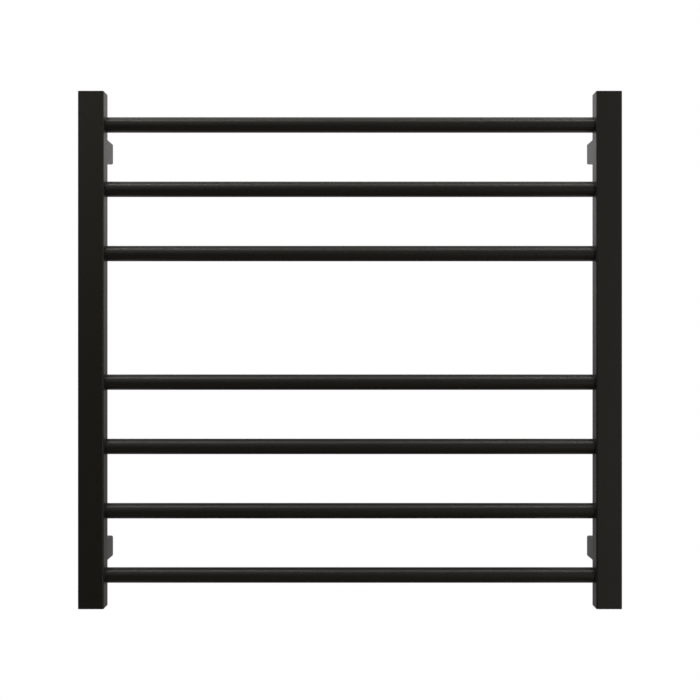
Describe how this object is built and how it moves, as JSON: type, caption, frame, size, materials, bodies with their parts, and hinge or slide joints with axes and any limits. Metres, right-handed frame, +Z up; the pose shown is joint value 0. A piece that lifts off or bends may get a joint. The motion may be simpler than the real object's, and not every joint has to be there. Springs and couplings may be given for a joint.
{
  "type": "wall-mounted towel warmer rack",
  "caption": "Ladder-shaped electric towel warmer: square posts joined by round bars, on four square arms that slide over sockets screwed to a wall.",
  "frame": {"origin": "the point of the wall plane behind the middle of the rack, halfway between the posts and at mid height", "axes": "+X to the right as seen from the room, along the bars; +Y into the wall; +Z up, along the posts"},
  "size_m": [0.63, 0.12, 0.6],
  "materials": {
    "black_coat": "satin",
    "black_casting": "matte",
    "zinc_steel": "satin",
    "black_steel": "satin",
    "grey_nylon": "satin",
    "black_rubber": "matte",
    "white_ceramic": "satin",
    "brass": "satin",
    "black_silicone": "satin",
    "red_silicone": "satin",
    "shrink_sleeve": "satin"
  },
  "bodies": {
    "wall_fixings": {"upper_left_wall_socket": "black_casting", "upper_left_wall_screw": "zinc_steel", "upper_left_wall_plug": "grey_nylon", "upper_right_wall_socket": "black_casting", "upper_right_wall_screw": "zinc_steel", "upper_right_wall_plug": "grey_nylon", "lower_left_wall_socket": "black_casting", "lower_left_wall_screw": "zinc_steel", "lower_left_wall_plug": "grey_nylon", "lower_right_wall_socket": "black_casting", "lower_right_wall_screw": "zinc_steel", "lower_right_wall_plug": "grey_nylon", "cable_bush": "black_rubber"},
    "rack": {"left_post": "black_coat", "left_top_cap": "black_coat", "left_bottom_cap": "black_coat", "right_post": "black_coat", "right_top_cap": "black_coat", "right_bottom_cap": "black_coat", "bar_1": "black_coat", "bar_2": "black_coat", "bar_3": "black_coat", "bar_4": "black_coat", "bar_5": "black_coat", "bar_6": "black_coat", "bar_7": "black_coat", "upper_left_arm": "black_coat", "upper_right_arm": "black_coat", "lower_left_arm": "black_coat", "lower_right_arm": "black_coat", "terminal_block": "white_ceramic", "terminal_screw_1": "brass", "terminal_screw_2": "brass", "terminal_screw_3": "brass", "terminal_screw_4": "brass", "earth_tab": "brass", "cold_lead": "black_silicone", "cold_joint": "shrink_sleeve", "heating_cable_lower": "red_silicone", "heat_limiter": "shrink_sleeve", "heating_cable_upper": "red_silicone", "cable_end_seal": "shrink_sleeve"},
    "upper_left_set_screw_body": {"upper_left_set_screw": "black_steel"},
    "upper_right_set_screw_body": {"upper_right_set_screw": "black_steel"},
    "lower_left_set_screw_body": {"lower_left_set_screw": "black_steel"},
    "lower_right_set_screw_body": {"lower_right_set_screw": "black_steel"}
  },
  "joints": [
    {"name": "rack_lift_off", "type": "slide", "parent": "wall_fixings", "child": "rack", "axis": [0, -1, 0], "range_m": [0, 0.022]},
    {"name": "upper_left_set_screw_back_out", "type": "slide", "parent": "rack", "child": "upper_left_set_screw_body", "axis": [0, 0, -1], "range_m": [0, 0.0021]},
    {"name": "upper_right_set_screw_back_out", "type": "slide", "parent": "rack", "child": "upper_right_set_screw_body", "axis": [0, 0, -1], "range_m": [0, 0.0021]},
    {"name": "lower_left_set_screw_back_out", "type": "slide", "parent": "rack", "child": "lower_left_set_screw_body", "axis": [0, 0, -1], "range_m": [0, 0.0021]},
    {"name": "lower_right_set_screw_back_out", "type": "slide", "parent": "rack", "child": "lower_right_set_screw_body", "axis": [0, 0, -1], "range_m": [0, 0.0021]}
  ]
}
